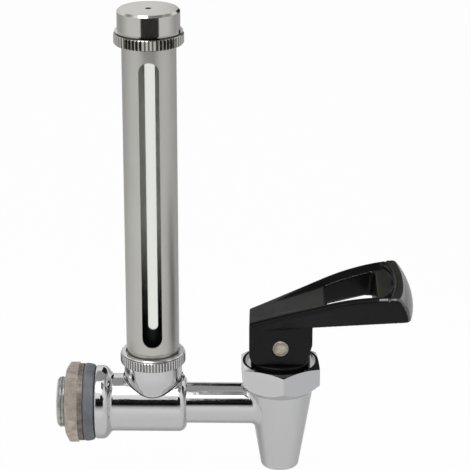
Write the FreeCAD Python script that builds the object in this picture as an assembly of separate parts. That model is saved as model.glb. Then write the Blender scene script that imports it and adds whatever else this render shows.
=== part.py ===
import FreeCAD, Part
import math
import os

os.makedirs("parts", exist_ok=True)

V = FreeCAD.Vector
X_AXIS = V(1, 0, 0)
Y_AXIS = V(0, 1, 0)
Z_AXIS = V(0, 0, 1)

# All sizes are in millimetres, and a slope is a rise over a run.
# The frame starts where the tank side of the bead meets the shank's axis.

# Positions of the two upright axes along the arm
gauge_x = 28.4
spout_x = 90.0

# Threaded shank
shank_r = 12.0
shank_length = 18.2
shank_end_chamfer = 0.9
water_bore_r = 7.0

# How far a cutting solid runs past the face that it opens
cut_margin = 2.0

# Bead flange, barrel and arm
bead_tank_round = 1.5
bead_crest_x = 5.5
bead_crest_round = 4.0
bead_flank_slope = 1.33
bead_foot_round = 1.5
barrel_r = 14.0
bead_rise = 3.9
bead_r = barrel_r + bead_rise
barrel_end_x = 44.7
arm_r = 9.9

# Gauge boss
boss_r = 14.0
boss_top_z = 24.9
boss_neck_r = 11.4
boss_neck_low_z = 8.0
boss_neck_high_z = 14.0
boss_neck_round = 18.0
boss_passage_r = 5.0
glass_seat_z = 14.0

# Spout casting
outlet_z = -32.2
outlet_outer_r = 9.0
outlet_bore_r = 6.4
outlet_edge_round = 1.1
hex_across_flats = 36.6
hex_turn_deg = 4.2
hex_root_r = 15.8
hex_root_z = 8.6
hex_corner_low_z = 13.6
hex_corner_high_z = 21.8
hex_top_z = 22.9
hex_top_flat_r = 18.3
hex_cup_r = 17.0
hex_cup_floor_z = 18.5
bonnet_thread_gap = 0.05
cup_ledge_z = 7.5
chamber_r = 10.6
chamber_floor_z = -9.0
seat_height = 1.0
seat_outer_r = 8.0

# Tank side hardware
gasket_thickness = 5.3
gasket_r = 19.0
gasket_peak_share_x = 3.6
gasket_flange_side_r = 18.2
gasket_nut_side_r = 18.5
washer_thickness = 2.4
washer_r = 18.8
nut_thickness = 6.2
nut_across_flats = 33.8
nut_turn_deg = -3.0
nut_face_r = 16.2
nut_chamfer_slope = 0.55
shank_gap = 0.08

# Union ring
ring_r = 15.7
ring_low_z = 22.2
ring_high_z = 27.9
ring_opening_r = 13.2
ring_lip = 1.5
ring_thread_gap = 0.05
ring_teeth = 64
ring_tooth_depth = 0.45
ring_band_height = 1.0
ring_band_r = 15.25
ring_edge_chamfer = 0.5

# Gauge shield, whose top follows the glass
shield_r = 12.7
shield_inner_r = 11.5
shield_foot_r = 13.9
shield_neck_r = 12.2
shield_neck_top_z = 29.5
shield_turn_deg = 2.0
front_slot_width = 9.46
front_slot_low_z = 33.8
front_slot_top_margin = 16.1
rear_slot_width = 5.44
rear_slot_low_z = 33.5
rear_slot_top_margin = 16.0

# Gauge glass and its washers
glass_r = 8.0
glass_wall = 1.6
glass_length = 175.0
glass_above_shield = 0.5
glass_bore_gap = 0.2
glass_washer_thickness = 2.5
lower_washer_hole_r = 5.0
upper_washer_r = 8.3
upper_washer_hole_r = 5.5
upper_washer_gap = 0.1

# Gauge cap
cap_flange_r = 16.3
cap_overlap = 9.75
cap_flange_height = 6.0
cap_r = 14.6
cap_roof = 3.4
cap_edge_chamfer = 1.0
cap_thread_gap = 0.05
cap_shelf_gap = 1.0
cap_teeth = 56
cap_tooth_depth = 0.5
cap_band_height = 1.0
vent_r = 1.4

# Bonnet
bonnet_flange_r = 14.3
bonnet_top_z = 24.4
bonnet_top_round = 0.8
bonnet_body_r = 12.4
spring_cavity_r = 7.5
spring_cavity_top_z = 20.0
stem_bore_gap = 0.05

# Seat cup
cup_flange_thickness = 1.5
cup_flange_gap = 0.1
cup_wall = 1.2
cup_mouth_r = 10.3
cup_tip_r = 8.2
cup_tip_height = 6.0
cup_tip_chamfer = 0.6
stem_head_gap = 0.1

# Valve stem
stem_r = 4.0
stem_neck_r = 3.0
stem_head_r = 4.5
stem_head_low_z = -6.0
stem_head_high_z = -3.5
stem_collar_r = 7.0
stem_collar_low_z = 3.0
stem_collar_thickness = 2.0
stem_eye_r = 6.5
stem_eye_width = 9.0
pin_z = 33.2
pin_r = 4.0
pin_gap = 0.06
pin_edge_chamfer = 0.4
pin_groove_r = 2.75
pin_groove_width = 0.45
pin_groove_depth = 0.3

# Stem spring
spring_outer_r = 6.5
spring_wire = 1.3
spring_pitch = 2.45

# Handle yoke with its cam foot
yoke_half = 11.0
yoke_back_x = -15.1
yoke_front_x = 15.2
yoke_back_foot_z = 30.5
yoke_back_foot_x = -10.2
fork_slot_gap = 0.3
fork_slot_top_z = 40.7
cam_gap = 0.15
cam_lift_per_rad = 8.0
cam_turn_deg = 25.0
cam_nose_z = 34.9
yoke_front_top_z = 48.7
yoke_back_top_z = 44.2

# Handle lever, side view
heel_top_z = 45.7
lever_slope = 0.363
lever_bend_x = 20.0
lever_level_x = 60.0
heel_low_z = 42.6
heel_underside_slope = 0.079
underside_bend_x = 13.0
underside_slope = 0.165
bend_ease = 6.0

# Handle lever, plan view
heel_top_half = 11.2
top_flare_slope = 0.30
top_flare_fade = 140.0
heel_low_half = 10.9
heel_low_flare_slope = 0.07
low_flare_slope = 0.24

# Handle lever, rounded end
nose_x = 63.1
lever_reach_spare = 4.9
lever_reach_x = nose_x + lever_reach_spare
nose_low_z = 50.0
nose_high_z = 53.2
nose_bulge_x = 61.9
nose_bulge_z = 59.4
lip_x = 56.9
lip_z = 66.6
nose_plan_r = 120.0
nose_corner_r = 2.4

# Sunk top of the lever between sloping rails
recess_depth = 2.3
recess_floor_half_at_axis = 7.8
recess_floor_flare = 0.2155
recess_wall_slope = 2.0
recess_back_x = -4.0
recess_full_x = 18.0
recess_front_x = 54.0
recess_front_r = 40.0
rim_outer_round = 2.2

# Finger window through the sunk top
window_back_x = 20.8
window_front_high_x = 46.0
window_front_low_x = 43.5
window_corner_r = 1.8
window_low_rail = 2.9
window_edge_back_z = 49.1
window_edge_slope = 0.07
window_edge_run = 2.0
window_edge_drop = 0.3


def turned(points, origin, direction):
    """Solid of revolution from (axial, radial) points about a line."""
    side = Z_AXIS if abs(direction.z) < 0.5 else X_AXIS
    corners = [origin + direction * a + side * r for a, r in points]
    wire = Part.makePolygon(corners + [corners[0]])
    return Part.Face(wire).revolve(origin, direction, 360)


def upright(points, x):
    """Solid of revolution from (z, radius) points about an upright axis."""
    return turned(points, V(x, 0, 0), Z_AXIS)


def level(points):
    """Solid of revolution from (x, radius) points about the shank's axis."""
    return turned(points, V(0, 0, 0), X_AXIS)


def rod(radius, start, end):
    """Cylinder between two points."""
    line = end - start
    return Part.makeCylinder(radius, line.Length, start, line)


def polygon_prism(corners, height):
    """Straight prism on a flat polygon."""
    wire = Part.makePolygon(corners + [corners[0]])
    return Part.Face(wire).extrude(height)


def rounded_rim(solid, radius, place, axis, size):
    """Rounds the circular edge with that radius whose centre lies at that place."""
    rims = []
    for edge in solid.Edges:
        curve = edge.Curve
        if not isinstance(curve, Part.Circle):
            continue
        if abs(curve.Radius - radius) > 0.01:
            continue
        if abs((curve.Center - place).dot(axis)) < 0.01:
            rims.append(edge)
    return solid.makeFillet(size, rims)


def knurled_band(x, outer_r, depth, teeth, low_z, high_z):
    """Straight-knurled band with pointed teeth, its edges trimmed by the tooth depth."""
    corners = []
    for index in range(2 * teeth):
        angle = math.pi * index / teeth
        radius = outer_r - depth * (index % 2)
        corners.append(V(x + radius * math.cos(angle), radius * math.sin(angle), low_z))
    band = polygon_prism(corners, V(0, 0, high_z - low_z))
    trim = [(low_z, 0), (low_z, outer_r - depth), (low_z + depth, outer_r)]
    trim += [(high_z - depth, outer_r), (high_z, outer_r - depth), (high_z, 0)]
    return band.common(upright(trim, x))


def bead_foot_x():
    return bead_crest_x + (bead_r - barrel_r) / bead_flank_slope


def body_outer_run():
    """Shank, bead, barrel with its rounded shoulder and arm."""
    shank = level([
        (-shank_length, 0),
        (-shank_length, shank_r - shank_end_chamfer),
        (-shank_length + shank_end_chamfer, shank_r),
        (bead_crest_x / 2, shank_r),
        (bead_crest_x / 2, 0),
    ])
    deep_r = barrel_r - cut_margin
    deep_x = bead_foot_x() + cut_margin / bead_flank_slope
    bead = level([
        (0, 0),
        (0, bead_r),
        (bead_crest_x, bead_r),
        (deep_x, deep_r),
        (deep_x, 0),
    ])
    bead = rounded_rim(bead, bead_r, V(bead_crest_x, 0, 0), X_AXIS, bead_crest_round)
    bead = rounded_rim(bead, bead_r, V(0, 0, 0), X_AXIS, bead_tank_round)
    barrel = rod(barrel_r, V(bead_crest_x / 2, 0, 0), V(barrel_end_x, 0, 0))
    shoulder = barrel_r - arm_r - 0.05
    barrel = rounded_rim(barrel, barrel_r, V(barrel_end_x, 0, 0), X_AXIS, shoulder)
    neck = bead.fuse(barrel).removeSplitter()
    neck = rounded_rim(neck, barrel_r, V(bead_foot_x(), 0, 0), X_AXIS, bead_foot_round)
    arm = rod(arm_r, V(gauge_x, 0, 0), V(spout_x, 0, 0))
    return shank.fuse([neck, arm])


def body_boss():
    """Upright boss that necks in smoothly before it meets the barrel."""
    boss = upright([
        (0, 0),
        (0, boss_neck_r),
        (boss_neck_low_z, boss_neck_r),
        (boss_neck_high_z, boss_r),
        (boss_top_z, boss_r),
        (boss_top_z, 0),
    ], gauge_x)
    high = V(gauge_x, 0, boss_neck_high_z)
    low = V(gauge_x, 0, boss_neck_low_z)
    boss = rounded_rim(boss, boss_r, high, Z_AXIS, boss_neck_round)
    return rounded_rim(boss, boss_neck_r, low, Z_AXIS, boss_neck_round)


def body_spout():
    """Tapered spout that ends above in a hexagonal head."""
    cone = upright([
        (outlet_z, 0),
        (outlet_z, outlet_outer_r),
        (hex_root_z, hex_root_r),
        (hex_root_z, 0),
    ], spout_x)
    outlet = V(spout_x, 0, outlet_z)
    cone = rounded_rim(cone, outlet_outer_r, outlet, Z_AXIS, outlet_edge_round)
    corner_r = hex_across_flats / 2 / math.cos(math.radians(30))
    corners = []
    for index in range(6):
        angle = math.radians(60 * index + 30 + hex_turn_deg)
        place = V(spout_x + corner_r * math.cos(angle), corner_r * math.sin(angle), hex_root_z)
        corners.append(place)
    head = polygon_prism(corners, V(0, 0, hex_top_z - hex_root_z))
    low_slope = (hex_corner_low_z - hex_root_z) / (corner_r - hex_root_r)
    high_slope = (hex_top_z - hex_corner_high_z) / (corner_r - hex_top_flat_r)
    trim_r = corner_r + 1
    trim = upright([
        (hex_root_z, 0),
        (hex_root_z, hex_root_r),
        (hex_root_z + low_slope * (trim_r - hex_root_r), trim_r),
        (hex_top_z - high_slope * (trim_r - hex_top_flat_r), trim_r),
        (hex_top_z, hex_top_flat_r),
        (hex_top_z, 0),
    ], spout_x)
    return cone.fuse(head.common(trim))


def body_hollows():
    """Every passage of the casting as one solid."""
    glass_bore_r = glass_r + glass_bore_gap
    water = rod(water_bore_r, V(-shank_length, 0, 0), V(spout_x, 0, 0))
    passage = rod(boss_passage_r, V(gauge_x, 0, 0), V(gauge_x, 0, glass_seat_z))
    seat = rod(glass_bore_r, V(gauge_x, 0, glass_seat_z), V(gauge_x, 0, boss_top_z))
    thread_r = bonnet_body_r + bonnet_thread_gap
    valve = upright([
        (outlet_z, 0),
        (outlet_z, outlet_bore_r),
        (chamber_floor_z + seat_height, outlet_bore_r),
        (chamber_floor_z + seat_height, seat_outer_r),
        (chamber_floor_z, seat_outer_r),
        (chamber_floor_z, chamber_r),
        (cup_ledge_z, chamber_r),
        (cup_ledge_z, thread_r),
        (hex_cup_floor_z, thread_r),
        (hex_cup_floor_z, hex_cup_r),
        (hex_top_z, hex_cup_r),
        (hex_top_z, 0),
    ], spout_x)
    return water.fuse([passage, seat, valve])


def make_spigot_body():
    outer = body_outer_run().fuse([body_boss(), body_spout()])
    return outer.cut(body_hollows()).removeSplitter()


def make_tank_gasket():
    hole_r = shank_r + shank_gap
    return level([
        (0, hole_r),
        (0, gasket_flange_side_r),
        (-gasket_peak_share_x, gasket_r),
        (-gasket_thickness, gasket_nut_side_r),
        (-gasket_thickness, hole_r),
    ])


def make_tank_washer():
    start = V(-gasket_thickness, 0, 0)
    end = V(-gasket_thickness - washer_thickness, 0, 0)
    return rod(washer_r, start, end).cut(rod(shank_r + shank_gap, start, end))


def make_lock_nut():
    low_x = -gasket_thickness - washer_thickness - nut_thickness
    high_x = low_x + nut_thickness
    corner_r = nut_across_flats / 2 / math.cos(math.radians(30))
    corners = []
    for index in range(6):
        angle = math.radians(60 * index + nut_turn_deg)
        corners.append(V(low_x, -corner_r * math.cos(angle), corner_r * math.sin(angle)))
    nut = polygon_prism(corners, V(nut_thickness, 0, 0))
    trim_r = corner_r + 1
    drop = nut_chamfer_slope * (trim_r - nut_face_r)
    trim = level([
        (low_x, 0),
        (low_x, nut_face_r),
        (low_x + drop, trim_r),
        (high_x, trim_r),
        (high_x, 0),
    ])
    hole = rod(shank_r + shank_gap, V(low_x, 0, 0), V(high_x, 0, 0))
    return nut.common(trim).cut(hole)


def make_union_ring():
    knurl_top_z = ring_high_z - ring_band_height
    teeth = knurled_band(gauge_x, ring_r, ring_tooth_depth, ring_teeth, ring_low_z, knurl_top_z)
    band = upright([
        (ring_low_z, 0),
        (ring_low_z, ring_band_r - ring_edge_chamfer),
        (ring_low_z + ring_edge_chamfer, ring_band_r),
        (ring_high_z - ring_edge_chamfer, ring_band_r),
        (ring_high_z, ring_band_r - ring_edge_chamfer),
        (ring_high_z, 0),
    ], gauge_x)
    hollow = upright([
        (ring_low_z, 0),
        (ring_low_z, boss_r + ring_thread_gap),
        (ring_high_z - ring_lip, boss_r + ring_thread_gap),
        (ring_high_z - ring_lip, ring_opening_r),
        (ring_high_z, ring_opening_r),
        (ring_high_z, 0),
    ], gauge_x)
    return teeth.fuse(band).cut(hollow).removeSplitter()


def glass_low_z():
    return glass_seat_z + glass_washer_thickness


def glass_high_z():
    return glass_low_z() + glass_length


def upper_washer_top_z():
    return glass_high_z() + glass_washer_thickness


def shield_top_z():
    return glass_high_z() - glass_above_shield


def slot_cutter(width, low_z, high_z, side):
    """Round-ended upright slot that runs out to one side of the gauge axis."""
    reach = V(0, side * (shield_r + cut_margin), 0)
    half = width / 2
    box = Part.makeBox(width, shield_r + cut_margin, high_z - low_z - width)
    box.translate(V(gauge_x - half, min(0, reach.y), low_z + half))
    low_end = V(gauge_x, 0, low_z + half)
    high_end = V(gauge_x, 0, high_z - half)
    return box.fuse([rod(half, low_end, low_end + reach), rod(half, high_end, high_end + reach)])


def make_gauge_shield():
    foot_top_z = ring_high_z - ring_lip
    shield = upright([
        (boss_top_z, shield_inner_r),
        (boss_top_z, shield_foot_r),
        (foot_top_z, shield_foot_r),
        (foot_top_z, shield_neck_r),
        (shield_neck_top_z, shield_neck_r),
        (shield_neck_top_z + shield_r - shield_neck_r, shield_r),
        (shield_top_z(), shield_r),
        (shield_top_z(), shield_inner_r),
    ], gauge_x)
    front_high_z = shield_top_z() - front_slot_top_margin
    rear_high_z = shield_top_z() - rear_slot_top_margin
    shield = shield.cut(slot_cutter(front_slot_width, front_slot_low_z, front_high_z, -1))
    shield = shield.cut(slot_cutter(rear_slot_width, rear_slot_low_z, rear_high_z, 1))
    shield.rotate(V(gauge_x, 0, 0), Z_AXIS, shield_turn_deg)
    return shield


def make_gauge_glass():
    start = V(gauge_x, 0, glass_low_z())
    end = V(gauge_x, 0, glass_high_z())
    return rod(glass_r, start, end).cut(rod(glass_r - glass_wall, start, end))


def make_lower_glass_washer():
    start = V(gauge_x, 0, glass_seat_z)
    end = V(gauge_x, 0, glass_low_z())
    outer_r = glass_r + glass_bore_gap / 2
    return rod(outer_r, start, end).cut(rod(lower_washer_hole_r, start, end))


def make_upper_glass_washer():
    start = V(gauge_x, 0, glass_high_z())
    end = V(gauge_x, 0, upper_washer_top_z())
    return rod(upper_washer_r, start, end).cut(rod(upper_washer_hole_r, start, end))


def make_gauge_cap():
    cap_low_z = shield_top_z() - cap_overlap
    cap_top_z = upper_washer_top_z() + cap_roof
    cap_shelf_z = shield_top_z() + cap_shelf_gap
    flange_top_z = cap_low_z + cap_flange_height
    knurl_top_z = flange_top_z - cap_band_height
    teeth = knurled_band(gauge_x, cap_flange_r, cap_tooth_depth, cap_teeth, cap_low_z, knurl_top_z)
    crown = upright([
        (cap_low_z, 0),
        (cap_low_z, cap_flange_r - 2 * cap_tooth_depth),
        (knurl_top_z, cap_flange_r - cap_tooth_depth),
        (flange_top_z, cap_flange_r - cap_tooth_depth),
        (flange_top_z, cap_r),
        (cap_top_z - cap_edge_chamfer, cap_r),
        (cap_top_z, cap_r - cap_edge_chamfer),
        (cap_top_z, 0),
    ], gauge_x)
    washer_top_z = upper_washer_top_z()
    hollow = upright([
        (cap_low_z, 0),
        (cap_low_z, shield_r + cap_thread_gap),
        (cap_shelf_z, shield_r + cap_thread_gap),
        (cap_shelf_z, upper_washer_r + upper_washer_gap),
        (washer_top_z, upper_washer_r + upper_washer_gap),
        (washer_top_z, vent_r),
        (cap_top_z, vent_r),
        (cap_top_z, 0),
    ], gauge_x)
    return teeth.fuse(crown).cut(hollow).removeSplitter()


def cup_top_z():
    return cup_ledge_z + cup_flange_thickness


def make_bonnet():
    bonnet = upright([
        (cup_top_z(), spring_cavity_r),
        (cup_top_z(), bonnet_body_r),
        (hex_cup_floor_z, bonnet_body_r),
        (hex_cup_floor_z, bonnet_flange_r),
        (bonnet_top_z, bonnet_flange_r),
        (bonnet_top_z, stem_r + stem_bore_gap),
        (spring_cavity_top_z, stem_r + stem_bore_gap),
        (spring_cavity_top_z, spring_cavity_r),
    ], spout_x)
    top = V(spout_x, 0, bonnet_top_z)
    return rounded_rim(bonnet, bonnet_flange_r, top, Z_AXIS, bonnet_top_round)


def seat_z():
    return chamber_floor_z + seat_height


def make_seat_cup():
    tip_top_z = seat_z() + cup_tip_height
    pocket_r = stem_head_r + stem_head_gap
    throat_r = stem_neck_r + stem_head_gap
    return upright([
        (seat_z(), 0),
        (seat_z(), cup_tip_r - cup_tip_chamfer),
        (seat_z() + cup_tip_chamfer, cup_tip_r),
        (tip_top_z, cup_tip_r),
        (cup_ledge_z, cup_mouth_r),
        (cup_ledge_z, bonnet_body_r - cup_flange_gap),
        (cup_top_z(), bonnet_body_r - cup_flange_gap),
        (cup_top_z(), cup_mouth_r - cup_wall),
        (tip_top_z, cup_tip_r - cup_wall),
        (tip_top_z, throat_r),
        (stem_head_high_z + stem_head_gap, throat_r),
        (stem_head_high_z + stem_head_gap, pocket_r),
        (stem_head_low_z - stem_head_gap, pocket_r),
        (stem_head_low_z - stem_head_gap, 0),
    ], spout_x)


def collar_top_z():
    return stem_collar_low_z + stem_collar_thickness


def make_valve_stem():
    shaft = upright([
        (stem_head_low_z, 0),
        (stem_head_low_z, stem_head_r),
        (stem_head_high_z, stem_head_r),
        (stem_head_high_z, stem_neck_r),
        (stem_collar_low_z, stem_neck_r),
        (stem_collar_low_z, stem_collar_r),
        (collar_top_z(), stem_collar_r),
        (collar_top_z(), stem_r),
        (pin_z, stem_r),
        (pin_z, 0),
    ], spout_x)
    half = V(0, stem_eye_width / 2, 0)
    centre = V(spout_x, 0, pin_z)
    eye = rod(stem_eye_r, centre - half, centre + half)
    hole = rod(pin_r + pin_gap, centre - half, centre + half)
    return shaft.fuse(eye).cut(hole).removeSplitter()


def make_stem_spring():
    low_z = collar_top_z() + spring_wire / 2
    high_z = spring_cavity_top_z - spring_wire / 2
    coil_r = spring_outer_r - spring_wire / 2
    path = Part.makeHelix(spring_pitch, high_z - low_z, coil_r)
    path.translate(V(spout_x, 0, low_z))
    start = V(spout_x + coil_r, 0, low_z)
    section = Part.Wire([Part.makeCircle(spring_wire / 2, start, Y_AXIS)])
    return Part.Wire(path.Edges).makePipeShell([section], True, True)


def make_handle_pin():
    half = V(0, yoke_half, 0)
    centre = V(spout_x, 0, pin_z)
    small_r = pin_r - pin_edge_chamfer
    pin = turned([
        (-yoke_half, 0),
        (-yoke_half, small_r),
        (-yoke_half + pin_edge_chamfer, pin_r),
        (yoke_half - pin_edge_chamfer, pin_r),
        (yoke_half, small_r),
        (yoke_half, 0),
    ], centre, Y_AXIS)
    grooves = []
    for side in (-1, 1):
        end = centre + half * side
        floor = end - V(0, side * pin_groove_depth, 0)
        groove = rod(pin_groove_r, floor, end)
        grooves.append(groove.cut(rod(pin_groove_r - pin_groove_width, floor, end)))
    return pin.cut(grooves)


def cam_point(turn):
    """Point of the cam that rests on the bonnet when the handle has turned that far."""
    reach = pin_z - bonnet_top_z - cam_gap + cam_lift_per_rad * turn
    x = cam_lift_per_rad * math.cos(turn) + reach * math.sin(turn)
    z = cam_lift_per_rad * math.sin(turn) - reach * math.cos(turn)
    return V(spout_x + x, -yoke_half, pin_z + z)


def make_yoke():
    foot_z = bonnet_top_z + cam_gap
    back_x = spout_x + yoke_back_x
    front_x = spout_x + yoke_front_x
    y = -yoke_half
    turns = [math.radians(cam_turn_deg) * step / 6 for step in range(7)]
    cam = Part.BSplineCurve()
    cam.interpolate([cam_point(turn) for turn in turns])
    back_low = V(back_x, y, yoke_back_foot_z)
    foot_back = V(spout_x + yoke_back_foot_x, y, foot_z)
    swing = math.radians(45)
    knee = V(
        foot_back.x - (foot_back.x - back_x) * math.sin(swing),
        y,
        yoke_back_foot_z - (yoke_back_foot_z - foot_z) * math.sin(swing),
    )
    nose = V(front_x, y, cam_nose_z)
    front_top = V(front_x, y, yoke_front_top_z)
    back_top = V(back_x, y, yoke_back_top_z)
    outline = Part.Wire([
        Part.makeLine(back_top, back_low),
        Part.Arc(back_low, knee, foot_back).toShape(),
        Part.makeLine(foot_back, cam_point(0)),
        cam.toShape(),
        Part.makeLine(cam_point(turns[-1]), nose),
        Part.makeLine(nose, front_top),
        Part.makeLine(front_top, back_top),
    ])
    return Part.Face(outline).extrude(V(0, 2 * yoke_half, 0))


def eased_ramp(x, start, bend, first, second):
    """Height gained from start to x with one slope before a bend and another after it."""
    ease = bend_ease
    before = first * (x - start)
    if x <= bend - ease:
        return before
    if x >= bend + ease:
        return before + (second - first) * (x - bend)
    return before + (second - first) * (x - bend + ease) ** 2 / (4 * ease)


def lever_top_z(x):
    past = max(0.0, x - lever_bend_x)
    level_run = lever_level_x - lever_bend_x
    straight = heel_top_z + lever_slope * (x - yoke_back_x)
    return straight - lever_slope * past * past / (2 * level_run)


def lever_top_half(x):
    run = x - yoke_back_x
    return heel_top_half + top_flare_slope * (run - run * run / (2 * top_flare_fade))


def lever_low_z(x):
    slopes = (heel_underside_slope, underside_slope)
    return heel_low_z + eased_ramp(x, yoke_back_x, underside_bend_x, *slopes)


def lever_low_half(x):
    slopes = (heel_low_flare_slope, low_flare_slope)
    return heel_low_half + eased_ramp(x, yoke_back_x, underside_bend_x, *slopes)


def rail(stations, half, height, side):
    """Long edge over one side of the lever as one smooth curve."""
    places = [V(spout_x + x, side * half(x), height(x)) for x in stations]
    params = [float(index) for index in range(len(stations))]
    curve = Part.BSplineCurve()
    curve.interpolate(Points=places, Parameters=params)
    return curve.toShape()


def between_rails(start_x, end_x, top_half, top_z, low_half, low_z):
    """Closed solid between four smooth long edges that mirror across the lever."""
    steps = 12
    stations = [start_x + (end_x - start_x) * index / steps for index in range(steps + 1)]
    near_top = rail(stations, top_half, top_z, -1)
    far_top = rail(stations, top_half, top_z, 1)
    near_low = rail(stations, low_half, low_z, -1)
    far_low = rail(stations, low_half, low_z, 1)
    faces = [
        Part.makeRuledSurface(near_top, far_top),
        Part.makeRuledSurface(near_low, far_low),
        Part.makeRuledSurface(near_top, near_low),
        Part.makeRuledSurface(far_top, far_low),
    ]
    for x in (start_x, end_x):
        corners = [
            V(spout_x + x, -top_half(x), top_z(x)),
            V(spout_x + x, top_half(x), top_z(x)),
            V(spout_x + x, low_half(x), low_z(x)),
            V(spout_x + x, -low_half(x), low_z(x)),
        ]
        faces.append(Part.Face(Part.makePolygon(corners + [corners[0]])))
    shell = Part.makeShell(faces)
    shell.sewShape()
    solid = Part.makeSolid(shell)
    if solid.Volume < 0:
        solid.reverse()
    return solid


def nose_centre_x():
    return spout_x + nose_x - nose_plan_r


def lever_end_limit():
    """Turned solid whose outer face shapes the rounded end of the lever."""
    centre_x = nose_centre_x()
    foot = V(spout_x + nose_x, 0, heel_low_z - cut_margin)
    high = V(spout_x + nose_x, 0, nose_high_z)
    bulge = V(spout_x + nose_bulge_x, 0, nose_bulge_z)
    lip = V(spout_x + lip_x, 0, lip_z)
    above = V(lip.x - cut_margin, 0, lip_z + 2 * cut_margin)
    outline = Part.Wire([
        Part.makeLine(V(centre_x, 0, foot.z), foot),
        Part.makeLine(foot, high),
        Part.Arc(high, bulge, lip).toShape(),
        Part.makeLine(lip, above),
        Part.makeLine(above, V(centre_x, 0, above.z)),
        Part.makeLine(V(centre_x, 0, above.z), V(centre_x, 0, foot.z)),
    ])
    profile = Part.Face(outline)
    profile.rotate(V(centre_x, 0, 0), Z_AXIS, 180)
    return profile.revolve(V(centre_x, 0, 0), Z_AXIS, 360)


def recess_floor_half(x):
    return recess_floor_half_at_axis + recess_floor_flare * x


def recess_half(x):
    """Half width of the sunk top where its sloping walls leave the cutter."""
    return recess_floor_half(x) + recess_wall_slope * (recess_depth + cut_margin)


def recess_floor_z(x):
    share = min(1.0, (x - recess_back_x) / (recess_full_x - recess_back_x))
    return lever_top_z(x) - recess_depth * share


def above_lever_z(x):
    return lever_top_z(x) + cut_margin


def end_corners(solid):
    """Upright edges at the near and far corners of the lever's end."""
    found = []
    for edge in solid.Edges:
        middle = edge.valueAt((edge.FirstParameter + edge.LastParameter) / 2)
        if middle.x > spout_x + lip_x and abs(middle.y) > heel_top_half:
            found.append(edge)
    return found


def top_crests(solid):
    """Long edges round the lever's top, along both sides and the lip."""
    found = []
    for edge in solid.Edges:
        middle = edge.valueAt((edge.FirstParameter + edge.LastParameter) / 2)
        above_low = middle.z - lever_low_z(middle.x - spout_x)
        if edge.Length > nose_corner_r and above_low > nose_high_z - nose_low_z + nose_corner_r and middle.x > spout_x:
            found.append(edge)
    return found


def rising_edges(solid):
    """Edges that rise by more than the cutting margin and stand steeper than they lean."""
    found = []
    for edge in solid.Edges:
        start, end = edge.Vertexes[0].Point, edge.Vertexes[-1].Point
        rise = abs(start.z - end.z)
        drift = math.hypot(start.x - end.x, start.y - end.y)
        if rise > cut_margin and drift < rise:
            found.append(edge)
    return found


def recess_cutter():
    """Sunk top of the lever, closed in front by an arc behind the lip."""
    sunk = between_rails(
        recess_back_x, lever_reach_x, recess_half, above_lever_z, recess_floor_half, recess_floor_z
    )
    foot = V(spout_x + recess_front_x - recess_front_r, 0, heel_low_z)
    front = Part.makeCylinder(recess_front_r, 2 * heel_low_z, foot)
    return sunk.common(front)


def window_low_half(x):
    return lever_low_half(x) - window_low_rail


def below_lever_z(x):
    return lever_low_z(x) - cut_margin


def window_edge_rise(x):
    """Height of the window's lower edge over the lever's underside."""
    edge_z = window_edge_back_z + window_edge_slope * (x - window_back_x)
    return edge_z - lever_low_z(x)


def hollow_peak_half(x):
    return window_low_half(x) - window_edge_run


def hollow_foot_half(x):
    return window_low_half(x) + window_edge_run


def hollow_foot_z(x):
    return lever_low_z(x) - window_edge_drop


def hollow_peak_z(x):
    return lever_low_z(x) + 2 * window_edge_rise(x) + window_edge_drop


def window_cutter():
    """Window with leaning walls and rounded corners, and the hollow that opens its foot."""
    reach_z = lever_top_z(window_front_high_x) + cut_margin
    foot_z = lever_low_z(window_back_x) - cut_margin
    outline = Part.makePolygon([
        V(spout_x + window_back_x, -lever_reach_x, foot_z),
        V(spout_x + window_front_low_x, -lever_reach_x, foot_z),
        V(spout_x + window_front_high_x, -lever_reach_x, reach_z),
        V(spout_x + window_back_x, -lever_reach_x, reach_z),
        V(spout_x + window_back_x, -lever_reach_x, foot_z),
    ])
    prism = Part.Face(outline).extrude(V(0, 2 * lever_reach_x, 0))
    walls = between_rails(
        recess_back_x, lever_reach_x, recess_floor_half, recess_floor_z, window_low_half, below_lever_z
    )
    block = walls.common(prism)
    block = block.makeFillet(window_corner_r, rising_edges(block))
    hollow = between_rails(
        window_back_x + window_corner_r,
        window_front_low_x - window_corner_r,
        hollow_peak_half,
        hollow_peak_z,
        hollow_foot_half,
        hollow_foot_z,
    )
    return block, hollow


def make_handle():
    blank = between_rails(
        yoke_back_x, lever_reach_x, lever_top_half, lever_top_z, lever_low_half, lever_low_z
    )
    lever = blank.common(lever_end_limit()).removeSplitter()
    lever = lever.makeFillet(nose_corner_r, end_corners(lever))
    lever = lever.makeFillet(rim_outer_round, top_crests(lever))
    lever = lever.cut(recess_cutter())
    block, hollow = window_cutter()
    handle = lever.fuse(make_yoke()).cut([block, hollow])
    slot_half = stem_eye_width / 2 + fork_slot_gap
    slot_low_z = bonnet_top_z
    slot_length = yoke_front_x - yoke_back_x + 2 * cut_margin
    slot = Part.makeBox(slot_length, 2 * slot_half, fork_slot_top_z - slot_low_z)
    slot.translate(V(spout_x + yoke_back_x - cut_margin, -slot_half, slot_low_z))
    half = V(0, yoke_half + cut_margin, 0)
    centre = V(spout_x, 0, pin_z)
    hole = rod(pin_r, centre - half, centre + half)
    return handle.cut([slot, hole]).removeSplitter()


pieces = {
    "spigot_body": make_spigot_body,
    "tank_gasket": make_tank_gasket,
    "tank_washer": make_tank_washer,
    "lock_nut": make_lock_nut,
    "union_ring": make_union_ring,
    "gauge_shield": make_gauge_shield,
    "gauge_glass": make_gauge_glass,
    "lower_glass_washer": make_lower_glass_washer,
    "upper_glass_washer": make_upper_glass_washer,
    "gauge_cap": make_gauge_cap,
    "bonnet": make_bonnet,
    "seat_cup": make_seat_cup,
    "valve_stem": make_valve_stem,
    "stem_spring": make_stem_spring,
    "handle_pin": make_handle_pin,
    "handle": make_handle,
}

for name, make in pieces.items():
    make().exportStep("parts/" + name + ".step")
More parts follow.
